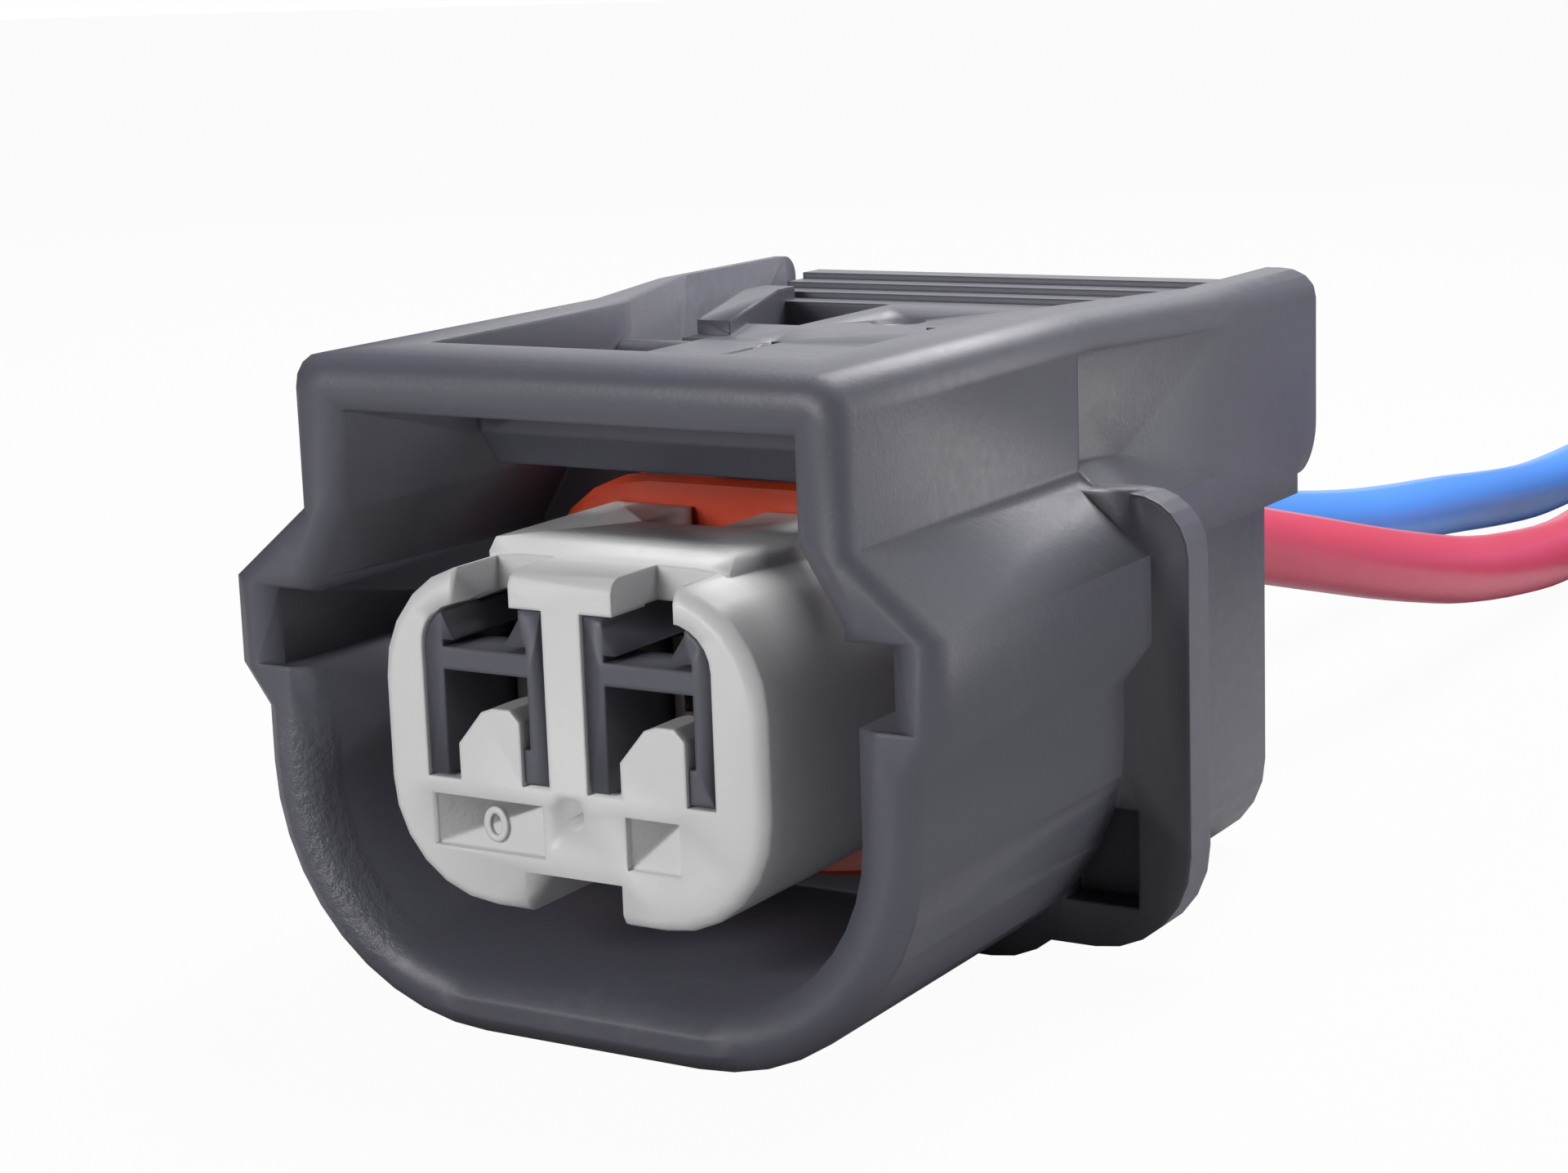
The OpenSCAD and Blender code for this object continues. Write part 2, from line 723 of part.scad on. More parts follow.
// Stripped end of a wire's copper strands
module core(x) {
    color("#b87333") place() translate([x, insulation_y, axis_z]) rotate([90, 0, 0])
        cylinder(h = insulation_y - crimp_y + 0.3, d = core_d);
}

// ------------------------------------------------------------------ wires

// Eight-sided tube swept along points; each ring stands square to the way at its point
module tube(points, d) {
    last = len(points) - 1;
    rings = [for (i = [0:last]) let (
        t = points[min(i + 1, last)] - points[max(i - 1, 0)],
        f = t / norm(t),
        s = [f[1], -f[0], 0] / norm([f[1], -f[0], 0]),
        u = cross(s, f)
    ) [for (k = [0:7]) points[i] + d / 2 * (cos(45 * k) * s + sin(45 * k) * u)]];
    skin(rings);
}

module lead(route, tint) {
    color(tint) place() tube(route, wire_d);
}

// Outer shape of the turns that one wire is wound into
module coil(z, tint) {
    color(tint) place() translate([coil_x, coil_y, z]) rotate_extrude()
        translate([coil_r - coil_wide / 2, -wire_d / 2]) square([coil_wide, wire_d]);
}

// Band round both coils, at an angle seen from above
module coil_tie(angle) {
    color("#2c2c30") place() translate([coil_x, coil_y, tie_t + wire_d])
    rotate([0, 0, angle]) translate([coil_r, 0, 0]) difference() {
        cube([coil_wide + 2 * tie_t, tie_w, 2 * wire_d + 2 * tie_t], center = true);
        cube([coil_wide, tie_w + over, 2 * wire_d], center = true);
    }
}

housing();
lock_lever();
front_retainer();
interface_seal();
terminal(-pitch / 2);  // terminal_left
terminal(pitch / 2);  // terminal_right
core(-pitch / 2);  // core_left
core(pitch / 2);  // core_right
wire_seal(-pitch / 2);  // wire_seal_left
wire_seal(pitch / 2);  // wire_seal_right
lead(blue_route, "#2f6fe0");  // lead_blue
lead(red_route, "#d8325a");  // lead_red
coil(blue_z, "#2f6fe0");  // coil_blue
coil(red_z, "#d8325a");  // coil_red
coil_tie(-45);  // coil_tie_near
coil_tie(135);  // coil_tie_far
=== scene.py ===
"""Looks of a two-way sealed automotive connector with its pigtail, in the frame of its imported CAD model."""

import logging
import math
from dataclasses import dataclass, field
from enum import Enum
from typing import Optional, Sequence, Union

import bmesh
import bpy
from mathutils import Matrix, Vector


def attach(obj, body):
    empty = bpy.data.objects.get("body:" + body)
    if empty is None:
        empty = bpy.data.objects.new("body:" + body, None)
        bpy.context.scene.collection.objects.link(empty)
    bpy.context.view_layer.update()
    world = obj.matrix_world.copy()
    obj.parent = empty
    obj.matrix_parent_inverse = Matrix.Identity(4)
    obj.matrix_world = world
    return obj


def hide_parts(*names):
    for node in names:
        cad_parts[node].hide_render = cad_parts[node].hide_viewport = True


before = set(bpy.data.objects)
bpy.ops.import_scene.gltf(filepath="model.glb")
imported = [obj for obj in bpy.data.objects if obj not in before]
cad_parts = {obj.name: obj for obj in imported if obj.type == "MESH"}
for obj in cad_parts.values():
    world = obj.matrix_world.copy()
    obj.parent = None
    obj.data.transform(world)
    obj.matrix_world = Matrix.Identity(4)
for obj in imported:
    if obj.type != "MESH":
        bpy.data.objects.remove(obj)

LOG = logging.getLogger("connector")
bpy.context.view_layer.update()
MM = 0.001
# Depth of the origin behind the rim, in millimetres
RIM_TO_ORIGIN = 10.925
# Vertices nearer than this are joined when a CAD mesh is copied, in millimetres
WELD_MM = 0.004
# Steps on each full turn of a wound wire
STEPS_PER_TURN = 28
# Colour of the dust on the mouldings
DUST = (0.62, 0.63, 0.66)
COPPER = (0.72, 0.38, 0.22)
COPPER_ROUGHNESS = 0.35

Colour = tuple[float, float, float]
Point = tuple[float, float, float]


def at(x: float, y: float, z: float) -> Vector:
    """Turns millimetres measured from the rim's plane, like the sizes in the CAD, into the part's frame.

    Args:
        x: place across.
        y: depth behind the rim.
        z: height.

    Returns:
        The point in metres.
    """
    return Vector((x, y - RIM_TO_ORIGIN, z)) * MM


# ------------------------------------------------------------------ shader wrappers


class Sock:
    """A node socket that does arithmetic, adding Math nodes as it goes."""

    def __init__(self, tree: "NodeTree", socket: bpy.types.NodeSocket) -> None:
        """Keeps the socket and the tree it lies in."""
        self.tree = tree
        self.socket = socket

    def _math(self, operation: str, *values: Union["Sock", float]) -> "Sock":
        """Math node of the operation on the values."""
        return self.tree.add("ShaderNodeMath", {"operation": operation}, {i: v for i, v in enumerate(values)})

    def __add__(self, other: Union["Sock", float]) -> "Sock":
        """Sum."""
        return self._math("ADD", self, other)

    def __radd__(self, other: float) -> "Sock":
        """Reflected sum."""
        return self._math("ADD", other, self)

    def __sub__(self, other: Union["Sock", float]) -> "Sock":
        """Difference."""
        return self._math("SUBTRACT", self, other)

    def __rsub__(self, other: float) -> "Sock":
        """Reflected difference."""
        return self._math("SUBTRACT", other, self)

    def __mul__(self, other: Union["Sock", float]) -> "Sock":
        """Product."""
        return self._math("MULTIPLY", self, other)

    def __rmul__(self, other: float) -> "Sock":
        """Reflected product."""
        return self._math("MULTIPLY", other, self)

    def above(self, edge: float, soft: float) -> "Sock":
        """Mask that rises from 0 to 1 as the value passes edge, over a width of soft."""
        return self.tree.add(
            "ShaderNodeMapRange",
            {"interpolation_type": "SMOOTHSTEP"},
            {"Value": self, "From Min": edge - soft / 2, "From Max": edge + soft / 2},
        )

    def below(self, edge: float, soft: float) -> "Sock":
        """Mask that falls from 1 to 0 as the value passes edge, over a width of soft."""
        return 1 - self.above(edge, soft)


class NodeTree:
    """Builds one material's nodes."""

    def __init__(self, name: str) -> None:
        """Starts an empty material of that name with its output and surface shader."""
        self.material = bpy.data.materials.new(name)
        self.material.use_nodes = True
        self.nodes = self.material.node_tree.nodes
        self.links = self.material.node_tree.links
        self.nodes.clear()
        self.surface = self.nodes.new("ShaderNodeBsdfPrincipled")
        self.output = self.nodes.new("ShaderNodeOutputMaterial")
        self.links.new(self.surface.outputs["BSDF"], self.output.inputs["Surface"])
        self._place: Optional[Sock] = None

    def add(
        self,
        kind: str,
        settings: Optional[dict] = None,
        sockets: Optional[dict] = None,
        output: Union[int, str] = 0,
    ) -> Sock:
        """Adds a node.

        Args:
            kind: the node's type.
            settings: its properties, set first; "stops" fills a colour ramp.
            sockets: values or links of its inputs, by name or number.
            output: the output that is returned.

        Returns:
            The output, wrapped.
        """
        node = self.nodes.new(kind)
        for key, value in (settings or {}).items():
            if key == "stops":
                ramp = node.color_ramp
                while len(ramp.elements) < len(value):
                    ramp.elements.new(0.5)
                for element, (position, colour) in zip(ramp.elements, value):
                    element.position = position
                    element.color = (*colour, 1)
            else:
                setattr(node, key, value)
        for key, value in (sockets or {}).items():
            self.feed(node.inputs[key], value)
        return Sock(self, node.outputs[output])

    def feed(self, target: bpy.types.NodeSocket, value: object) -> None:
        """Links or sets one input."""
        if isinstance(value, Sock):
            self.links.new(value.socket, target)
        elif isinstance(value, tuple) and len(value) == 3 and target.type == "RGBA":
            target.default_value = (*value, 1)
        else:
            target.default_value = value

    def place(self) -> Sock:
        """Object coordinates, which are metres in the part's frame."""
        if self._place is None:
            self._place = self.add("ShaderNodeTexCoord", output="Object")
        return self._place

    def axes(self) -> tuple[Sock, Sock, Sock]:
        """The three object coordinates as numbers."""
        split = self.nodes.new("ShaderNodeSeparateXYZ")
        self.links.new(self.place().socket, split.inputs[0])
        return tuple(Sock(self, split.outputs[i]) for i in range(3))

    def noise(self, size_mm: float, detail: float = 3.0, roughness: float = 0.55) -> Sock:
        """Noise from 0 to 1.

        Args:
            size_mm: size of its lumps.
            detail: octaves.
            roughness: weight of each finer octave.

        Returns:
            The noise.
        """
        return self.add(
            "ShaderNodeTexNoise",
            {},
            {"Vector": self.place(), "Scale": 1 / (size_mm * MM), "Detail": detail, "Roughness": roughness},
        )

    def specks(self, cell_mm: float, size: float, share: float) -> Sock:
        """Mask of scattered round specks.

        Args:
            cell_mm: size of the cells that hold one speck each.
            size: radius of the largest speck, as a share of a cell.
            share: share of the cells that hold one.

        Returns:
            1 on a speck and 0 elsewhere.
        """
        voronoi = self.nodes.new("ShaderNodeTexVoronoi")
        voronoi.inputs["Scale"].default_value = 1 / (cell_mm * MM)
        self.links.new(self.place().socket, voronoi.inputs["Vector"])
        distance = Sock(self, voronoi.outputs["Distance"])
        pick = self.nodes.new("ShaderNodeSeparateColor")
        self.links.new(voronoi.outputs["Color"], pick.inputs[0])
        chosen = Sock(self, pick.outputs[0]).below(share, 0.001)
        radius = Sock(self, pick.outputs[1]) * size
        return chosen * (radius - distance).above(0, size * 0.3)

    def mix(self, factor: Union[Sock, float], a: object, b: object) -> Sock:
        """Colour between a and b."""
        return self.add("ShaderNodeMix", {"data_type": "RGBA"}, {0: factor, 6: a, 7: b}, output=2)

    def shades(self, factor: Sock, colour: Colour, dark: float, light: float) -> Sock:
        """Colour that wanders between a darker and a lighter shade.

        Args:
            factor: 0 for the dark shade and 1 for the light one.
            colour: the middle colour.
            dark: what the dark shade multiplies it by.
            light: what the light shade multiplies it by.

        Returns:
            The colour.
        """
        low, high = (tuple(min(1.0, c * k) for c in colour) for k in (dark, light))
        return self.mix(factor, low, high)

    def bump(self, height: Sock, depth_mm: float, strength: float = 1.0, edge_mm: float = 0.0) -> Sock:
        """Makes a relief.

        Args:
            height: its height, from 0 to 1.
            depth_mm: depth that 1 stands for.
            strength: share of it that is used.
            edge_mm: radius by which sharp edges look rounded.

        Returns:
            The normal.
        """
        sockets = {"Strength": strength, "Distance": depth_mm * MM, "Height": height}
        if edge_mm:
            sockets["Normal"] = self.add("ShaderNodeBevel", {"samples": 6}, {"Radius": edge_mm * MM})
        return self.add("ShaderNodeBump", {}, sockets)

    def set(self, **sockets: object) -> None:
        """Sets the surface shader's inputs; an underscore stands for a space."""
        for key, value in sockets.items():
            self.feed(self.surface.inputs[key.replace("_", " ")], value)


# ------------------------------------------------------------------ finishes


@dataclass(frozen=True)
class MouldedPlastic:
    """Glass-filled plastic straight from the mould, with dust on it."""

    name: str
    colour: Colour
    roughness: float = 0.48
    dust: float = 1.0
    texture: bool = False
    edge_mm: float = 0.14

    def build(self) -> bpy.types.Material:
        """Makes the material."""
        tree = NodeTree(self.name)
        cloud = tree.noise(3.2, 4.0)
        fine = tree.noise(0.35, 3.0)
        base = tree.shades(cloud, self.colour, 0.95, 1.05)
        specks = tree.specks(0.85, 0.07, 0.16) + tree.specks(2.1, 0.045, 0.35)
        film = (cloud + fine * 0.6).above(1.0, 0.3) * 0.02
        base = tree.mix(film * self.dust, base, DUST)
        base = tree.mix(specks * self.dust * 0.75, base, DUST)
        rough = self.roughness + 0.14 * (fine - 0.5) + specks * 0.3
        height = fine * 0.35 + tree.noise(0.12, 2.0) * 0.35
        if self.texture:
            height = height + self._spark_texture(tree)
        normal = tree.bump(height, 0.03, 0.5, self.edge_mm)
        tree.set(Base_Color=base, Roughness=rough, Normal=normal, IOR=1.5)
        return tree.material

    def _spark_texture(self, tree: NodeTree) -> Sock:
        """Coarse relief in the lower left of the mouth, where the mould was eroded by sparks."""
        x, y, z = tree.axes()
        mask = x.below(-5.2 * MM, 2 * MM) * y.below((0.9 - RIM_TO_ORIGIN) * MM, 0.4 * MM)
        mask = mask * z.below(6.6 * MM, 1.5 * MM) * z.above(1.2 * MM, 1.2 * MM)
        return mask * tree.noise(0.22, 3.0, 0.7) * 5


@dataclass(frozen=True)
class SoftRubber:
    """Oiled silicone rubber."""

    name: str
    colour: Colour
    roughness: float = 0.32

    def build(self) -> bpy.types.Material:
        """Makes the material."""
        tree = NodeTree(self.name)
        cloud = tree.noise(1.4, 3.0)
        base = tree.shades(cloud, self.colour, 0.85, 1.0)
        specks = tree.specks(0.5, 0.08, 0.12)
        base = tree.mix(specks * 0.5, base, (0.9, 0.6, 0.5))
        tree.set(
            Base_Color=base,
            Roughness=self.roughness + 0.12 * (tree.noise(0.3) - 0.5),
            Normal=tree.bump(tree.noise(0.5, 2.0), 0.02, 0.4),
            Coat_Weight=0.25,
            Coat_Roughness=0.2,
            Subsurface_Weight=0.1,
            Subsurface_Radius=(0.6 * MM, 0.15 * MM, 0.1 * MM),
        )
        return tree.material


@dataclass(frozen=True)
class Insulation:
    """Extruded insulation of a wire."""

    name: str
    colour: Colour

    def build(self) -> bpy.types.Material:
        """Makes the material."""
        tree = NodeTree(self.name)
        cloud = tree.noise(6.0, 2.0)
        base = tree.shades(cloud, self.colour, 0.9, 1.06)
        specks = tree.specks(1.1, 0.05, 0.12)
        base = tree.mix(specks * 0.5, base, (0.85, 0.87, 0.9))
        tree.set(
            Base_Color=base,
            Roughness=0.36 + 0.1 * (tree.noise(0.6) - 0.5),
            Normal=tree.bump(tree.noise(1.6, 2.0), 0.04, 0.35),
            IOR=1.5,
        )
        return tree.material


@dataclass(frozen=True)
class Plating:
    """Plated or bare metal sheet."""

    name: str
    colour: Colour
    roughness: float = 0.3

    def build(self) -> bpy.types.Material:
        """Makes the material."""
        tree = NodeTree(self.name)
        cloud = tree.noise(0.8, 3.0)
        base = tree.shades(cloud, self.colour, 0.8, 1.0)
        tree.set(
            Base_Color=base,
            Metallic=1.0,
            Roughness=self.roughness + 0.15 * (cloud - 0.5),
            Normal=tree.bump(tree.noise(0.15, 2.0), 0.006, 0.4),
        )
        return tree.material


@dataclass(frozen=True)
class ClothTape:
    """Woven harness tape."""

    name: str
    colour: Colour

    def build(self) -> bpy.types.Material:
        """Makes the material."""
        tree = NodeTree(self.name)
        weave = tree.add(
            "ShaderNodeTexBrick",
            {"offset": 0.5},
            {
                "Vector": tree.place(),
                "Scale": 900.0,
                "Mortar Size": 0.12,
                "Color1": (1, 1, 1),
                "Color2": (0.7, 0.7, 0.7),
                "Mortar": (0, 0, 0),
            },
            output=1,
        )
        base = tree.shades(tree.noise(0.5), self.colour, 1.0, 1.6)
        tree.set(Base_Color=base, Roughness=0.75, Normal=tree.bump(weave, 0.03, 0.5), Sheen_Weight=0.2)
        return tree.material


# ------------------------------------------------------------------ mesh helpers


def shade(mesh: bpy.types.Mesh, angle: float = 32.0) -> None:
    """Shades a mesh smooth, apart from edges sharper than angle degrees."""
    mesh.shade_smooth()
    mesh.set_sharp_from_angle(angle=math.radians(angle))


def finish_object(
    name: str,
    mesh: bpy.types.Mesh,
    material: bpy.types.Material,
    body: str,
    replaces: Sequence[str] = (),
) -> bpy.types.Object:
    """Puts a mesh in the scene as a piece.

    Args:
        name: the piece's name.
        mesh: its mesh, in the part's frame.
        material: its finish.
        body: the body it rides on.
        replaces: CAD nodes it stands for.

    Returns:
        The piece.
    """
    piece = bpy.data.objects.new(name, mesh)
    bpy.context.scene.collection.objects.link(piece)
    mesh.materials.clear()
    mesh.materials.append(material)
    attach(piece, body)
    if replaces:
        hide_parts(*replaces)
    LOG.info("%s on %s", name, body)
    return piece


@dataclass
class MouldedCopy:
    """A CAD node's solid with its vertices joined and its round faces shaded smooth."""

    node: str
    piece: str
    body: str
    slot: str
    angle: float = 26.0

    def build(self, material: bpy.types.Material) -> bpy.types.Object:
        """Makes the piece and lets it stand for the node.

        Args:
            material: its finish.

        Returns:
            The piece.
        """
        form = bmesh.new()
        form.from_mesh(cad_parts[self.node].data)
        bmesh.ops.remove_doubles(form, verts=form.verts, dist=WELD_MM * MM)
        mesh = bpy.data.meshes.new(self.piece)
        form.to_mesh(mesh)
        form.free()
        shade(mesh, self.angle)
        return finish_object(self.piece, mesh, material, self.body, [self.node])


# ------------------------------------------------------------------ sub-assemblies


class Winding(Enum):
    """Where a wire enters the coil, as an angle seen from above."""

    LEFT = 180.0
    FAR = 90.0


@dataclass
class Wire:
    """One wire of the pigtail, from its seal to the bare end of its coil."""

    name: str
    route: list[Point]
    entry: Winding
    turns: float
    layer_z: float
    nodes: tuple[str, str]
    slot: str
    diameter: float = 2.2
    core: float = 1.2
    first_radius: float = 13.55
    coil_centre: tuple[float, float] = (17.6, 65.4)
    points: list[Vector] = field(default_factory=list)

    def line(self) -> list[Vector]:
        """Points of the wire's middle, evenly spaced along a smooth curve."""
        anchors = [Vector(p) for p in self.route]
        steps = round(self.turns * STEPS_PER_TURN)
        for i in range(steps + 1):
            turn = self.turns * i / steps
            angle = math.radians(self.entry.value - 360 * turn)
            radius = self.first_radius - self.diameter * turn
            anchors.append(
                Vector((
                    self.coil_centre[0] + radius * math.cos(angle),
                    self.coil_centre[1] + radius * math.sin(angle),
                    self.layer_z,
                ))
            )
        return [at(*p) for p in smooth_line(anchors, 3)]

    def build(self, finish: Insulation, core_metal: bpy.types.Material) -> bpy.types.Object:
        """Makes the wire as a curve, with its bare core at the far end.

        Args:
            finish: the insulation.
            core_metal: the strands' metal.

        Returns:
            The wire.
        """
        self.points = self.line()
        curve = bpy.data.curves.new(self.name, "CURVE")
        curve.dimensions = "3D"
        curve.bevel_depth = self.diameter / 2 * MM
        curve.bevel_resolution = 6
        curve.use_fill_caps = True
        spline = curve.splines.new("POLY")
        spline.points.add(len(self.points) - 1)
        for point, place in zip(spline.points, self.points):
            point.co = (*place, 1)
        spline.use_smooth = True
        wire = bpy.data.objects.new(self.name, curve)
        bpy.context.scene.collection.objects.link(wire)
        curve.materials.append(finish.build())
        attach(wire, "connector")
        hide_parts(*self.nodes)
        tip = self._bare_tip(core_metal)
        return wire

    def _bare_tip(self, metal: bpy.types.Material) -> bpy.types.Object:
        """Strands that stand out of the insulation at the far end."""
        end, before = self.points[-1], self.points[-2]
        way = (end - before).normalized()
        form = bmesh.new()
        strand = self.core / 6 * MM
        spots = [(0, 0)] + [(math.cos(a), math.sin(a)) for a in (math.radians(60 * k) for k in range(6))]
        for u, v in spots:
            bmesh.ops.create_cone(
                form,
                cap_ends=True,
                segments=12,
                radius1=strand,
                radius2=strand * 0.9,
                depth=3 * MM,
                matrix=Matrix.Translation((2 * strand * u, 2 * strand * v, 0)),
            )
        turn = way.to_track_quat("Z", "Y").to_matrix().to_4x4()
        bmesh.ops.transform(form, matrix=Matrix.Translation(end + way * 1.2 * MM) @ turn, verts=form.verts)
        mesh = bpy.data.meshes.new(self.name + "_strands")
        form.to_mesh(mesh)
        form.free()
        shade(mesh)
        return finish_object(self.name + "_strands", mesh, metal, "connector")


def smooth_line(anchors: list[Vector], between: int) -> list[Vector]:
    """Points on a Catmull-Rom curve.

    Args:
        anchors: points that the curve passes.
        between: steps from each to the next.

    Returns:
        The curve's points, first and last included.
    """
    points = []
    last = len(anchors) - 1
    for i in range(last):
        p0, p1, p2, p3 = (anchors[max(0, min(last, i + k))] for k in (-1, 0, 1, 2))
        for s in range(between):
            t = s / between
            points.append(
                0.5 * (
                    2 * p1
                    + (p2 - p0) * t
                    + (2 * p0 - 5 * p1 + 4 * p2 - p3) * t * t
                    + (3 * p1 - p0 - 3 * p2 + p3) * t * t * t
                )
            )
    points.append(anchors[-1])
    return points


@dataclass
class Pigtail:
    """The two wires and the bands that hold their coil."""

    red_route: list[Point] = field(default_factory=lambda: [
        (2.1, 20, 7.6), (2.4, 24, 7.3), (3.1, 28, 6.5), (3.9, 32, 5.5), (4.4, 36, 4.5),
        (4.6, 40, 3.6), (4.6, 44, 2.8), (4.6, 49, 2.1), (4.5, 54, 1.6), (4.2, 60, 1.45),
    ])
    blue_route: list[Point] = field(default_factory=lambda: [
        (-2.1, 20, 7.6), (-2.1, 25, 7.5), (-2, 31, 6.8), (-1.7, 37, 5.4), (-1.3, 42, 4.3),
        (-1, 47, 3.5), (-0.9, 52, 2.9), (-0.8, 57, 2.4), (-0.8, 62, 1.8), (-0.8, 67, 1.3),
        (-0.5, 70.5, 1.3), (0.6, 74, 1.8), (3.2, 77.6, 2.7), (7, 79.5, 3.4), (12, 79.7, 3.65),
    ])

    def build(self) -> None:
        """Makes the wires and the ties."""
        copper = Plating("strands", COPPER, COPPER_ROUGHNESS).build()
        red = Wire(
            "wire_red", self.red_route, Winding.LEFT,
            turns=1.83, layer_z=1.45, nodes=("lead_red", "coil_red"), slot="wire_red",
        )
        red.build(Insulation("insulation_red", (0.5, 0.055, 0.105)), copper)
        blue = Wire(
            "wire_blue", self.blue_route, Winding.FAR,
            turns=1.17, layer_z=3.65, nodes=("lead_blue", "coil_blue"), slot="wire_blue",
        )
        blue.build(Insulation("insulation_blue", (0.075, 0.24, 0.7)), copper)
        tape = ClothTape("harness_tape", (0.02, 0.02, 0.022)).build()
        for node, piece in (("coil_tie_near", "tape_near"), ("coil_tie_far", "tape_far")):
            MouldedCopy(node, piece, "connector", "tie").build(tape)


@dataclass
class Housing:
    """The moulded housing and the lock lever in its roof."""

    colour: Colour = (0.079, 0.078, 0.1)

    def build(self) -> None:
        """Makes both mouldings."""
        body = MouldedPlastic("housing_plastic", self.colour, 0.46, 1.0, True).build()
        lever = MouldedPlastic("lever_plastic", tuple(c * 1.04 for c in self.colour), 0.44, 0.8).build()
        MouldedCopy("housing", "housing_moulding", "connector", "housing").build(body)
        MouldedCopy("lock_lever", "lever_moulding", "lever", "housing").build(lever)


@dataclass
class Retainer:
    """The light front retainer with the figure in its pocket."""

    colour: Colour = (0.6, 0.6, 0.605)

    def build(self) -> None:
        """Makes the retainer and its raised figure."""
        plastic = MouldedPlastic("retainer_plastic", self.colour, 0.42, 0.25).build()
        MouldedCopy("front_retainer", "retainer_moulding", "retainer", "retainer").build(plastic)
        self._figure(plastic)

    def _figure(self, plastic: bpy.types.Material) -> None:
        """Raised plain nought in the left pocket."""
        form = bmesh.new()
        outer = bmesh.ops.create_circle(form, segments=32, radius=0.4 * MM)["verts"]
        inner = bmesh.ops.create_circle(form, segments=32, radius=0.24 * MM)["verts"]
        bmesh.ops.bridge_loops(form, edges=form.edges)
        bmesh.ops.scale(form, vec=(0.8, 1, 1), verts=outer)
        bmesh.ops.scale(form, vec=(0.62, 1, 1), verts=inner)
        grown = bmesh.ops.extrude_face_region(form, geom=form.faces[:])
        tops = [v for v in grown["geom"] if isinstance(v, bmesh.types.BMVert)]
        bmesh.ops.translate(form, vec=(0, 0, 0.09 * MM), verts=tops)
        bmesh.ops.recalc_face_normals(form, faces=form.faces)
        turn = Matrix.Rotation(math.radians(90), 4, "X")
        bmesh.ops.transform(form, matrix=Matrix.Translation(at(-2.02, 0.16, 4.9)) @ turn, verts=form.verts)
        mesh = bpy.data.meshes.new("retainer_figure")
        form.to_mesh(mesh)
        form.free()
        shade(mesh)
        finish_object("retainer_figure", mesh, plastic, "retainer")


@dataclass
class SealsAndContacts:
    """The interface seal, the wire seals, the terminals and the cores."""

    def build(self) -> None:
        """Dresses the seals and the metal parts."""
        MouldedCopy("interface_seal", "seal_ring", "connector", "seal", 30).build(
            SoftRubber("seal_rubber", (0.6, 0.065, 0.025)).build()
        )
        collar = SoftRubber("wire_seal_rubber", (0.6, 0.13, 0.04)).build()
        tin = Plating("tin_plate", (0.68, 0.64, 0.56)).build()
        copper = Plating("core_strands", COPPER, COPPER_ROUGHNESS).build()
        for node, material in (
            ("wire_seal_left", collar), ("wire_seal_right", collar),
            ("terminal_left", tin), ("terminal_right", tin),
            ("core_left", copper), ("core_right", copper),
        ):
            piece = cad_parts[node]
            for slot in piece.material_slots:
                slot.material = material


# ------------------------------------------------------------------ studio


@dataclass(frozen=True)
class SoftBox:
    """Square lamp at place that faces target, all in metres and watts."""

    name: str
    place: Point
    target: Point
    size: float
    power: float

    def build(self) -> None:
        """Hangs the lamp."""
        data = bpy.data.lights.new(self.name, "AREA")
        data.size = self.size
        data.energy = self.power
        lamp = bpy.data.objects.new(self.name, data)
        bpy.context.scene.collection.objects.link(lamp)
        lamp.location = self.place
        way = Vector(self.target) - Vector(self.place)
        lamp.rotation_euler = way.to_track_quat("-Z", "Y").to_euler()


LAMPS = (
    SoftBox("top", (0.01, 0.07, 0.15), (0, 0, 0.01), 0.1, 0.42),
    SoftBox("rear", (-0.1, 0.17, 0.075), (0, 0, 0.012), 0.14, 0.06),
    SoftBox("key", (-0.05, -0.19, 0.07), (0, -0.01, 0.008), 0.08, 0.28),
    SoftBox("right", (0.2, 0.0, 0.08), (0.01, 0, 0.008), 0.14, 0.07),
    SoftBox("rear_right", (0.09, 0.035, 0.03), (0.01, 0.01, 0.01), 0.04, 0.04),
)


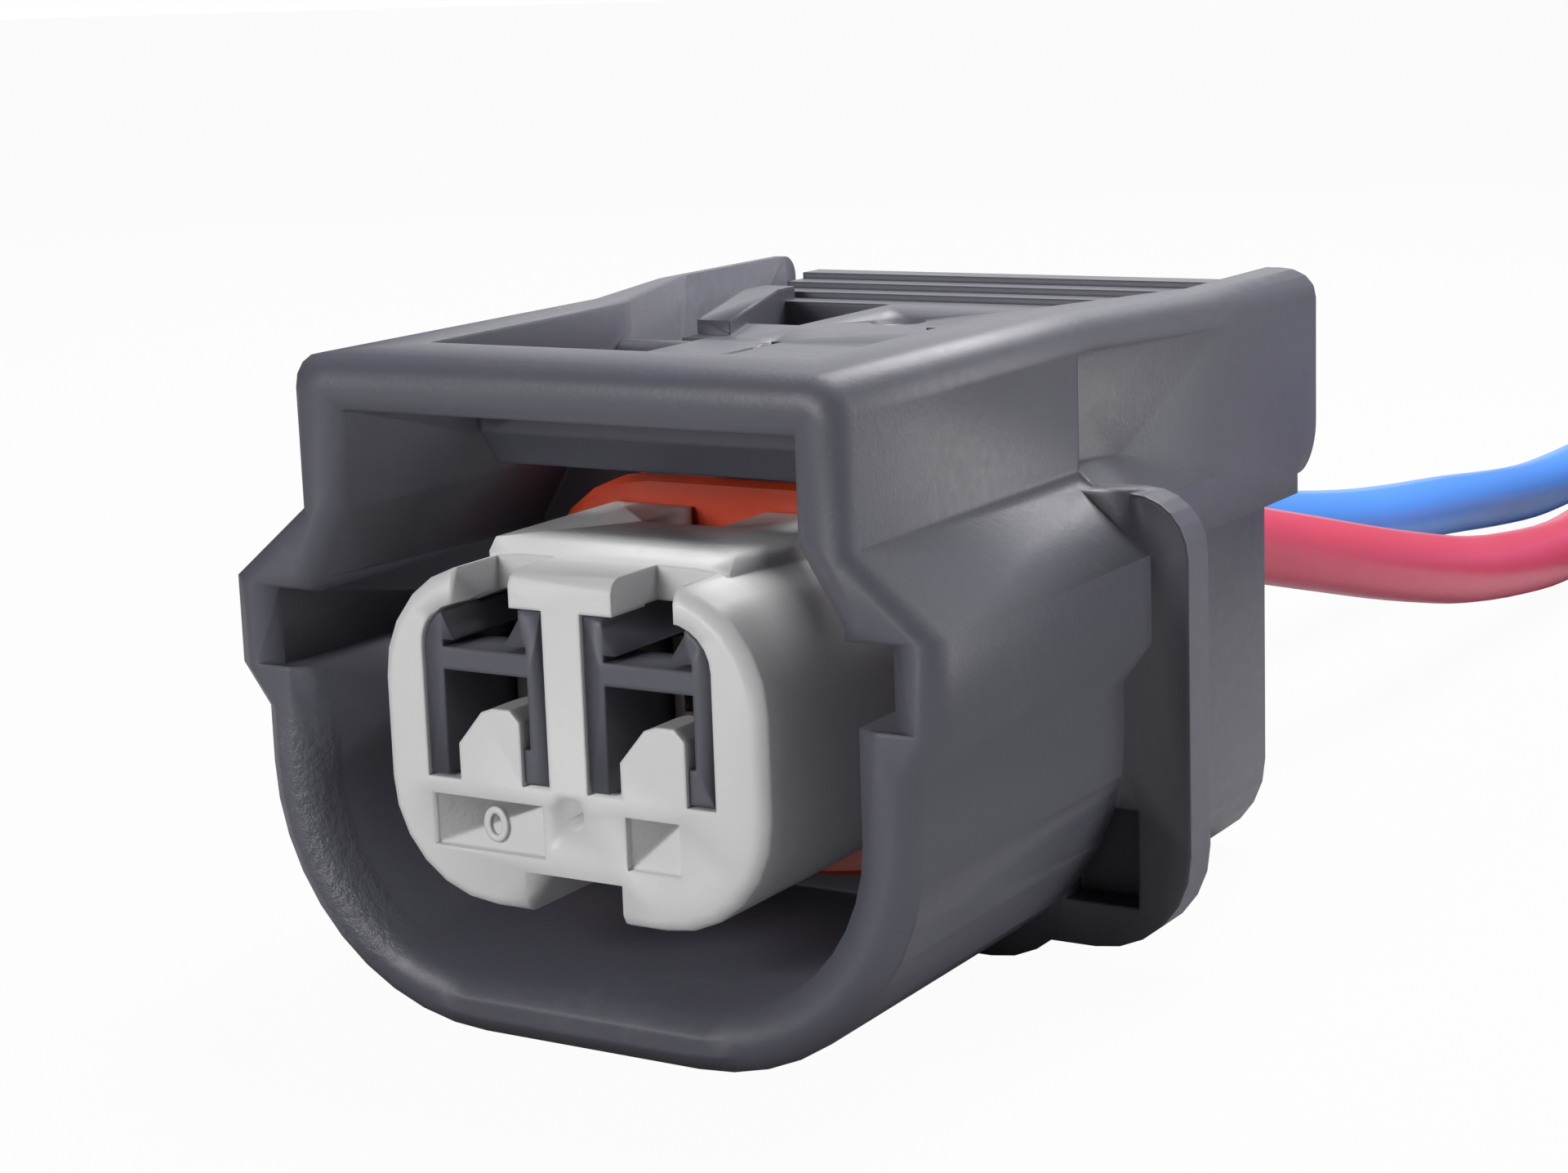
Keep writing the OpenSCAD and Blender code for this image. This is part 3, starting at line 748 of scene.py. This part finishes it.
@dataclass
class Studio:
    """Camera, floor, lights and sky."""

    camera_place: Point = (37.335, -62.845, 23.077)
    right: Point = (0.8559, 0.5159, -0.0346)
    up: Point = (-0.0735, 0.1877, 0.9794)
    back: Point = (0.5118, -0.8358, 0.1986)
    lens: float = 71.26
    floor_half: float = 1.5
    floor_glow: float = 0.96
    sky_strength: float = 0.1

    def build_camera(self) -> None:
        """Makes the camera."""
        data = bpy.data.cameras.new("camera")
        data.lens = self.lens
        data.sensor_width = 36
        data.clip_start = 1 * MM
        data.clip_end = 5
        camera = bpy.data.objects.new("camera", data)
        bpy.context.scene.collection.objects.link(camera)
        turn = Matrix((self.right, self.up, self.back)).transposed().to_4x4()
        camera.matrix_world = Matrix.Translation(Vector(self.camera_place) * MM) @ turn
        bpy.context.scene.camera = camera

    def build(self) -> None:
        """Makes the floor, the lights and the sky."""
        self._floor()
        for lamp in LAMPS:
            lamp.build()
        self._sky()
        bpy.context.scene.view_settings.view_transform = "Standard"

    def _floor(self) -> None:
        """Pale floor that the camera sees nearly white and that keeps the shadow."""
        form = bmesh.new()
        bmesh.ops.create_grid(form, x_segments=1, y_segments=1, size=self.floor_half)
        mesh = bpy.data.meshes.new("floor")
        form.to_mesh(mesh)
        form.free()
        floor = bpy.data.objects.new("floor", mesh)
        bpy.context.scene.collection.objects.link(floor)
        tree = NodeTree("floor_paper")
        tree.set(Base_Color=(0.35, 0.35, 0.35), Roughness=0.9)
        glow = tree.add("ShaderNodeEmission", {}, {"Color": (1, 1, 1), "Strength": 1.0})
        rays = tree.nodes.new("ShaderNodeLightPath")
        seen = Sock(tree, rays.outputs["Is Camera Ray"])
        paper = Sock(tree, tree.surface.outputs[0])
        blend = tree.add("ShaderNodeMixShader", {}, {0: seen * self.floor_glow, 1: paper, 2: glow})
        tree.links.new(blend.socket, tree.output.inputs["Surface"])
        mesh.materials.append(tree.material)

    def _sky(self) -> None:
        """Even pale sky, white where the camera sees it."""
        world = bpy.data.worlds.new("sky")
        bpy.context.scene.world = world
        world.use_nodes = True
        nodes, links = world.node_tree.nodes, world.node_tree.links
        nodes.clear()
        output = nodes.new("ShaderNodeOutputWorld")
        dim = nodes.new("ShaderNodeBackground")
        white = nodes.new("ShaderNodeBackground")
        pick = nodes.new("ShaderNodeMixShader")
        dim.inputs["Color"].default_value = (0.95, 0.97, 1, 1)
        dim.inputs["Strength"].default_value = self.sky_strength
        white.inputs["Color"].default_value = (1, 1, 1, 1)
        white.inputs["Strength"].default_value = 1.0
        rays = nodes.new("ShaderNodeLightPath")
        links.new(rays.outputs["Is Camera Ray"], pick.inputs[0])
        links.new(dim.outputs[0], pick.inputs[1])
        links.new(white.outputs[0], pick.inputs[2])
        links.new(pick.outputs[0], output.inputs["Surface"])


def main() -> None:
    """Builds the connector and its studio."""
    logging.basicConfig(level=logging.INFO, format="%(name)s: %(message)s")
    studio = Studio()
    studio.build_camera()
    Pigtail().build()
    Housing().build()
    Retainer().build()
    SealsAndContacts().build()
    studio.build()


if __name__ == "__main__":
    main()
